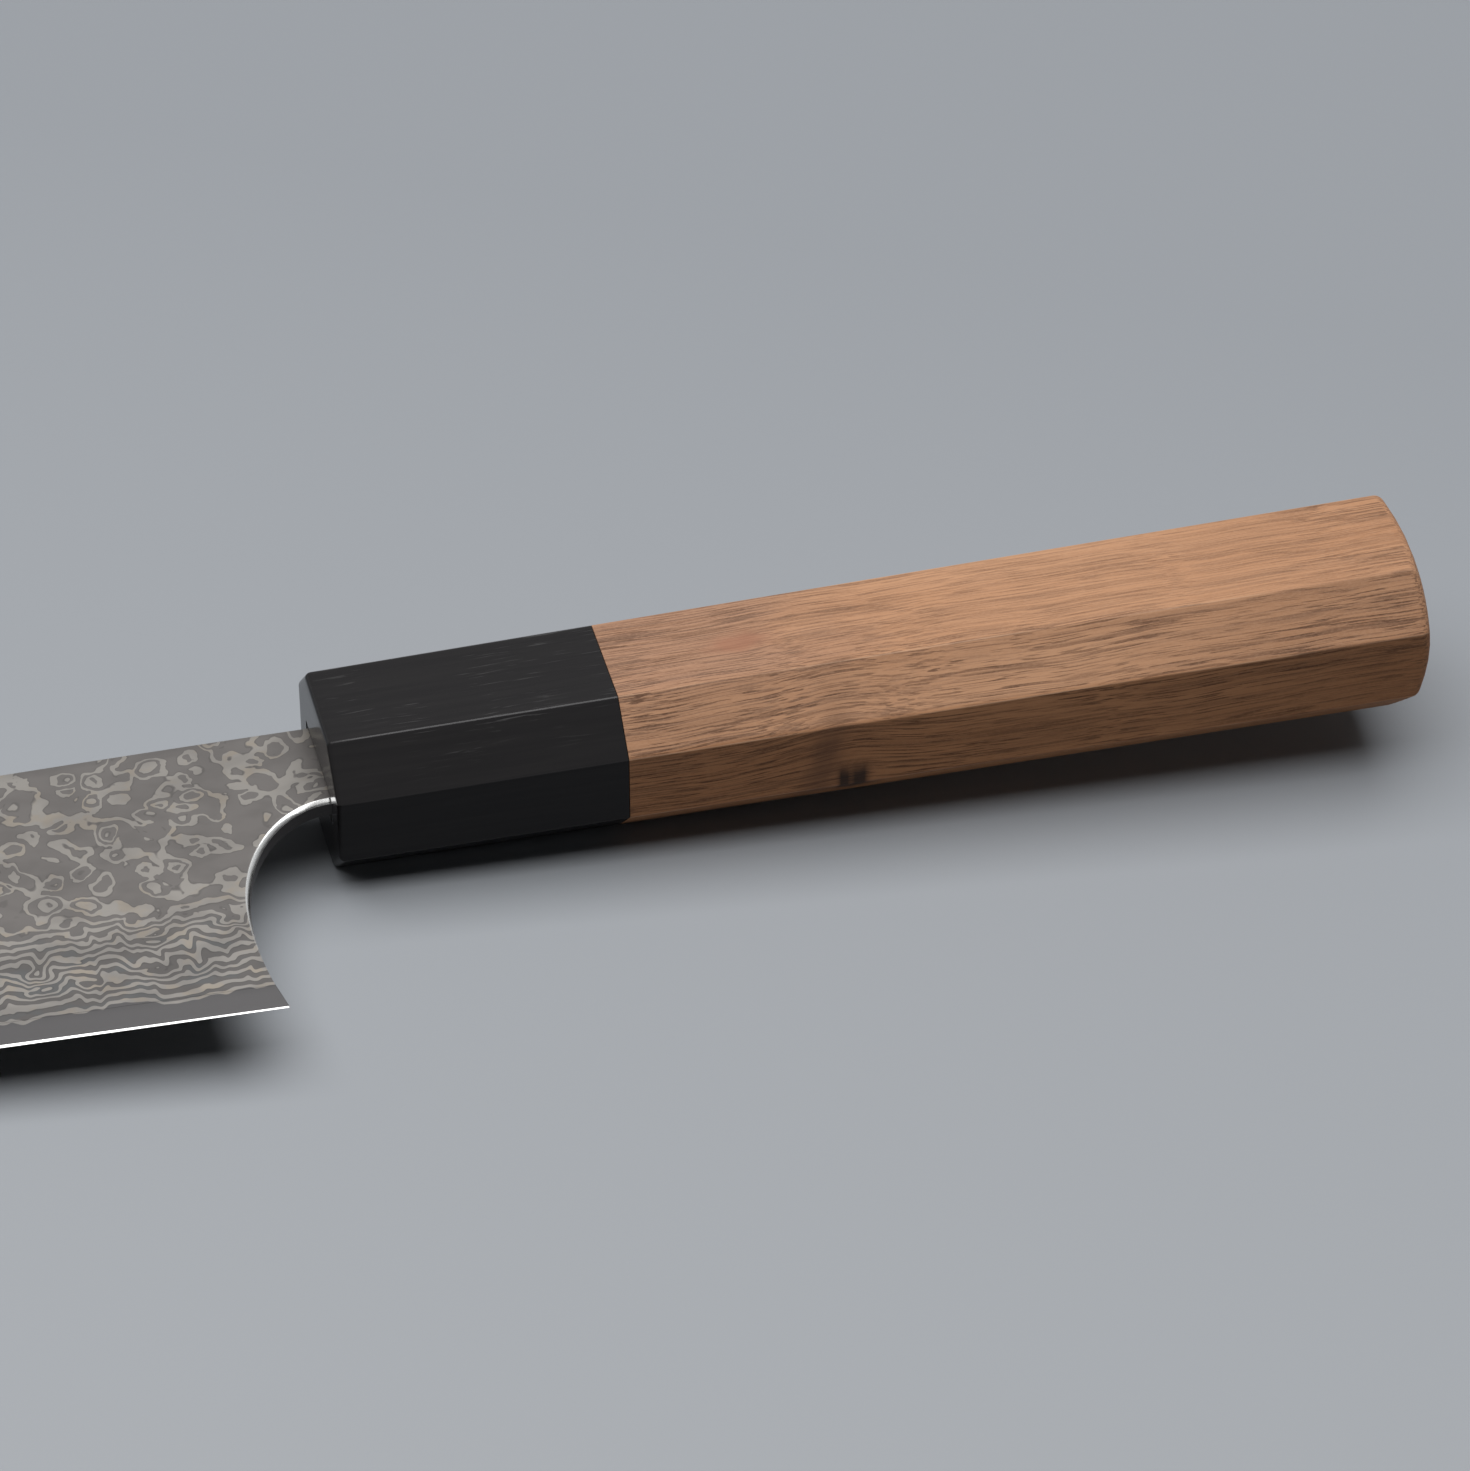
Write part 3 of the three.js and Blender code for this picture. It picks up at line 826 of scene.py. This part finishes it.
# Where the painted shade goes: the upright near side and the lower chamfer under it.
below = 1 - (y + z.math("MINIMUM", LOW_ARRIS)).ease(*LOW_SIDE_EDGE)
low_side_shade = below * (1 - z.ease(*LOW_SIDE_TOP))
grey_end = 1 - (x + GREY_RAGGED * (smoke - 0.5)).ease(*GREY_END)
calm = 1 - 0.45 * (1 - side) * x.bell(CALM_AT, CALM_REACH)
busy = (0.45 + 0.20 * side + 0.45 * patches) * calm
pale = 0.65 * broad.ease(0.3, 0.7) + 0.45 * x.bell(PALE_AT, PALE_REACH)
pores = ticks.ease(0.56, 0.65) * (0.8 * busy + 0.1 * grey_end)
body = pale.tint(WOOD_DEEP, WOOD_PALE)
body = (0.22 * side * x.ease(*DEEPER_BUTT)).tint(body, STREAK_BROWN)
body = (0.54 * streaks.ease(0.40, 0.72) * calm).tint(body, STREAK_BROWN)
body = (grey_end * (0.42 - 0.34 * side)).tint(body, GREY_BROWN)
body = (0.80 * busy * lines.ease(0.52, 0.61)).tint(body, LINE_BROWN)
body = (hairs.ease(0.53, 0.60) * (0.28 + grey_end * (0.5 - 0.25 * side))).tint(body, HAIR_BROWN)
body = pores.tint(body, PORE_BROWN)
body = (0.16 * fuzz.ease(0.40, 0.65)).tint(body, FIBRE_TAN)
# Painted shade: darkens the upright near side and the lower chamfer.
body = low_side_shade.tint(body, SIDE_PAINTED_SHADE, "MULTIPLY")
blurred = place.swayed(0.4, reach=2.2, detail=2.0).axes()
blur_x, blur_y, blur_z = blurred
spot = (1.1 * around(blurred, SPOT, SPOT_REACH)).math("MINIMUM", 0.75)
body = spot.tint(body, SPOT_RED)
# Lighter arrises: partly wear, partly a painted highlight.
worn_and_highlight = place.mark("arris") * smoke.ease(0.35, 0.60)
body = (0.45 * worn_and_highlight).tint(body, WORN_AND_HIGHLIGHT_TAN)
leaning = (blur_x - LIMB_LEAN * blur_z).bell(LIMB_AT, LIMB_WIDTH)
fading_up = 0.14 + 0.5 * (1 - blur_z.ease(*LIMB_FADE))
limb = leaning * (1 - blur_y.ease(*LIMB_EDGE)) * fading_up
body = (limb * (0.7 + 0.6 * streaks)).tint(body, LIMB_BROWN)
ragged_z = z + 0.8 * (blur_z - z)
cracks = x.bell(*CRACKS[0]) + x.bell(*CRACKS[1]) + 0.5 * x.bell(*CRACKS_BETWEEN)
crack_height = ragged_z.ease(*CRACK_FOOT) * (1 - ragged_z.ease(*CRACK_TOP))
heart = 0.95 * blur_x.bell(HEART[0], HEART_REACH[0]) * ragged_z.bell(HEART[1], HEART_REACH[1])
hole = (cracks.math("MINIMUM", 1.0) * crack_height).math("MAXIMUM", heart) * (1 - y.ease(*HOLE_EDGE))
body = (0.93 * hole).tint(body, KNOT_BLACK)
coat(shader, {
    "Base Color": body,
    "Roughness": WOOD_ROUGHNESS + LINE_ROUGHNESS * lines,
    "Specular IOR Level": WOOD_SHINE,
    "Normal": place.node("ShaderNodeBump", {}, {"Height": 1 - pores, "Distance": PORE_DEPTH / METRE}),
})
fit("walnut_grip", grip_mesh, walnut_finish, "handle_body")

# Dowel
# A slotted round pin of pale wood, glued into both the ferrule and the grip to join them.
# It stays hidden, and the tang passes through its slot.
RAY_BROWN = (0.52, 0.38, 0.22, 1)
RAY_PALE = (0.74, 0.60, 0.40, 1)


def refinish(node, finish):
    """Gives a finish to a solid that keeps its own shape."""
    solid = frame["nodes"][node].data
    solid.materials.clear()
    solid.materials.append(finish)


dowel_finish, shader, place = new_finish("pale_wood")
rays = place.scaled((0.04, 2.2, 2.2)).cloud(detail=3.0, roughness=0.6)
coat(shader, {"Base Color": rays.tint(RAY_BROWN, RAY_PALE), "Roughness": 0.66 + 0.1 * rays})
refinish("dowel", dowel_finish)

# Ferrule
# A black collar of polished horn, slotted in front for the neck and bored behind for the dowel.
# It is shaped with the grip as one octagon, and its front edges are rubbed over.
SLOT_SIZE = (14.8, 3.44, 0.1)
SLOT_ARRIS = 0.05
SLOT_EASE = 0.15
WEB = 9.0
HORN_ARRIS = 0.35
MOUTH_EASE = 0.7
MOUTH_EASE_RINGS = 8
COLLAR_RINGS = 13
FACE_RINGS = 3
COLLAR_CREASE = 35
HORN_DARK = (0.0083, 0.0074, 0.0079, 1)
HORN_LIGHT = (0.0107, 0.0096, 0.0099, 1)
RUB_GREY = (0.08, 0.078, 0.078, 1)
# The next colour is a painted highlight along the upper arrises, where the lamp glints on the rounded edges.
ARRIS_HIGHLIGHT_GREY = (0.070, 0.068, 0.070, 1)
RUB_STRENGTH = 0.6
RUBBED_FACETS = (3.8, 9.0)
TOP_FACET = (8.2, 9.3)
# Heights between which the arrises carry the painted highlight.
HIGHLIGHTED_ARRISES = (3.0, 9.0)
FRONT_EDGE = (0.1, 0.9)
HORN_ROUGHNESS = 0.18
BAND_ROUGHNESS = 0.08
RUB_ROUGHNESS = 0.15
FRONT_SMOOTHING = 0.02
HORN_SHINE = 0.155

mouth_turn = np.linspace(0, np.pi / 2, MOUTH_EASE_RINGS)[::-1]
behind_ease = np.linspace(MOUTH_EASE, FERRULE_LENGTH, COLLAR_RINGS + 1)[1:]
collar_x = np.concatenate([MOUTH_EASE * (1 - np.sin(mouth_turn)), behind_ease])
collar_inset = np.concatenate([MOUTH_EASE * (1 - np.cos(mouth_turn)), np.zeros(COLLAR_RINGS)])
collar_sides = octagons(collar_x, grip_size(collar_x), HORN_ARRIS, collar_inset)
slot_x = np.array([WEB, SLOT_EASE, 0.0])
slot_inset = np.array([0.0, 0.0, -SLOT_EASE])
slot_size = [np.full(len(slot_x), size) for size in SLOT_SIZE]
slot = octagons(slot_x, slot_size, SLOT_ARRIS, slot_inset) + [0, NECK_MIDDLE, 0]
face_share = np.linspace(0, 1, FACE_RINGS + 2)[1:-1, None, None]
mouth = slot[-1] + (collar_sides[0] - slot[-1]) * face_share
collar_bore = circles([FERRULE_LENGTH, WEB], [BORE_RADIUS, BORE_RADIUS], collar_sides[0])
collar_rings = np.concatenate([slot, mouth, collar_sides, collar_bore])
collar_arris = np.zeros(collar_rings.shape[:2])
collar_arris[-len(collar_bore) - COLLAR_RINGS:-len(collar_bore)] = np.tile(corner_mark, FACETS)
collar_mesh = skin("horn_ferrule", collar_rings, COLLAR_CREASE, {"arris": collar_arris}, joined=True)

horn_finish, shader, place = new_finish("black_horn")
x, _, z = place.axes()
bands = place.scaled((0.05, 1.4, 1.4)).cloud(detail=3.0, roughness=0.6)
rubs = place.swayed(0.1, reach=1.0).scaled((0.16, 4.5, 4.5)).cloud(detail=2.0).ease(0.58, 0.76)
handled = (place.cloud(0.09) + 0.12 * z.ease(*TOP_FACET)).ease(0.55, 0.75) * z.ease(*RUBBED_FACETS)
rubbed = rubs * handled
front_polish = 1 - x.ease(*FRONT_EDGE)
horn = bands.ease(0.35, 0.7).tint(HORN_DARK, HORN_LIGHT)
horn = (RUB_STRENGTH * rubbed).tint(horn, RUB_GREY)
# Painted highlight: the upper arrises are greyed as if catching the lamp.
horn = (place.mark("arris") * z.ease(*HIGHLIGHTED_ARRISES)).tint(horn, ARRIS_HIGHLIGHT_GREY)
roughness = HORN_ROUGHNESS + BAND_ROUGHNESS * bands + RUB_ROUGHNESS * rubbed
coat(shader, {
    "Base Color": horn,
    "Roughness": roughness - FRONT_SMOOTHING * front_polish,
    "Specular IOR Level": HORN_SHINE,
})
fit("horn_ferrule", collar_mesh, horn_finish, "ferrule")

# Tang bed
# Amber resin poured into the grip, where it set round the end of the tang.
# It is hidden, and holds the blade in the handle.
AMBER_DARK = (0.12, 0.055, 0.012, 1)
AMBER_LIGHT = (0.30, 0.15, 0.04, 1)

bed_finish, shader, place = new_finish("amber_resin")
swirl = place.swayed(0.2, reach=3.0).cloud(0.35, detail=3.0)
coat(shader, {"Base Color": swirl.tint(AMBER_DARK, AMBER_LIGHT), "Roughness": 0.25 + 0.2 * swirl})
refinish("tang_bed", bed_finish)

# Mouth seal
# A bead of dark resin pressed into the slot round the neck.
# It keeps water out of the handle, and shows only as a dark line.
RESIN_DARK = (0.006, 0.0055, 0.005, 1)
RESIN_LIGHT = (0.014, 0.012, 0.01, 1)

seal_finish, shader, place = new_finish("dark_resin")
grit = place.cloud(1.2, detail=3.0)
coat(shader, {"Base Color": grit.tint(RESIN_DARK, RESIN_LIGHT), "Roughness": 0.35 + 0.25 * grit})
refinish("mouth_seal", seal_finish)

# Table and light
# A smooth grey table, a little darker at the far right, under one broad soft lamp a little behind the
# knife. The room beyond adds almost no light, but shows in polished steel and horn as a pale grey.
FLOOR_HALF = 4000.0
NEAR_GREY = (0.342, 0.359, 0.382, 1)
FAR_GREY = (0.266, 0.283, 0.307, 1)
FLOOR_ROUGHNESS = 0.7
FADE_SLANT = 0.5
FADE_FROM = -150.0
FADE_TO = 150.0
ROOM_SHOWN = (0.80, 0.81, 0.825, 1)
ROOM_LIGHT = (0.0015, 0.0016, 0.0017, 1)
LAMP_WIDTH = 1500.0
LAMP_DEPTH = 1150.0
LAMP_PLACE = np.array([0.0, 80.0, 1000.0])
LAMP_POWER = 17.5

floor_ends = np.array([-FLOOR_HALF, FLOOR_HALF]) / METRE
floor_grid = np.stack(np.meshgrid(floor_ends, floor_ends), axis=-1).reshape(-1, 2)
floor_mesh = bpy.data.meshes.new("table")
floor_mesh.from_pydata(np.pad(floor_grid, ((0, 0), (0, 1))), [], [[0, 1, 3, 2]])
floor = bpy.data.objects.new("table", floor_mesh)
bpy.context.scene.collection.objects.link(floor)
floor_finish, shader, place = new_finish("grey_table")
x, y, _ = place.axes()
far = {"Value": y + FADE_SLANT * x, "From Min": FADE_FROM, "From Max": FADE_TO}
fade = place.node("ShaderNodeMapRange", {}, far)
coat(shader, {"Base Color": fade.tint(NEAR_GREY, FAR_GREY), "Roughness": FLOOR_ROUGHNESS})
floor_mesh.materials.append(floor_finish)

lamp_light = bpy.data.lights.new("softbox", "AREA")
lamp_light.shape = "RECTANGLE"
lamp_light.size = LAMP_WIDTH / METRE
lamp_light.size_y = LAMP_DEPTH / METRE
lamp_light.energy = LAMP_POWER
lamp = bpy.data.objects.new("softbox", lamp_light)
lamp.location = LAMP_PLACE / METRE
lamp.visible_camera = False
bpy.context.scene.collection.objects.link(lamp)

room = bpy.data.worlds.new("room")
bpy.context.scene.world = room
room.use_nodes = True
path = room.node_tree.nodes.new("ShaderNodeLightPath")
shown = Wire(path.outputs["Is Camera Ray"])
shown = shown.math("MAXIMUM", Wire(path.outputs["Is Glossy Ray"]))
shown = shown.math("MAXIMUM", Wire(path.outputs["Is Transmission Ray"]))
sky = {"Color": shown.tint(ROOM_LIGHT, ROOM_SHOWN), "Strength": 1.0}
coat(room.node_tree.nodes["Background"], sky)

# Camera
# It stands at the left front and looks down across the handle, with a long lens.
# The knife runs out of the picture at the left, so only the heel of the blade shows.
VIEW_TURN = math.radians(13.873)
VIEW_DOWN = math.radians(39.589)
VIEW_ROLL = math.radians(-0.227)
MOUTH_RIGHT = -48.094
MOUTH_DOWN = 4.079
MOUTH_AWAY = 785.242
PICTURE_HEIGHT = 1471
FOCAL_PIXELS = 6794.871
SENSOR = 36.0
NEAREST = 10.0

turned = Matrix.Rotation(VIEW_TURN, 3, "Z")
tipped = Matrix.Rotation(math.pi / 2 + VIEW_DOWN, 3, "X")
rolled = Matrix.Rotation(VIEW_ROLL, 3, "Z")
right, down, away = np.array(rolled @ tipped @ turned) @ knife_axes
stand = knife_origin - MOUTH_RIGHT * right - MOUTH_DOWN * down - MOUTH_AWAY * away
lens = bpy.data.cameras.new("camera")
lens.sensor_width = SENSOR
lens.lens = FOCAL_PIXELS * SENSOR / PICTURE_HEIGHT
lens.clip_start = NEAREST / METRE
camera = bpy.data.objects.new("camera", lens)
pose = np.eye(4)
pose[:3, :3] = np.stack([right, -down, -away], axis=1)
pose[:3, 3] = stand / METRE
camera.matrix_world = Matrix(pose.tolist())
bpy.context.scene.collection.objects.link(camera)
bpy.context.scene.camera = camera
bpy.context.scene.view_settings.view_transform = "Standard"
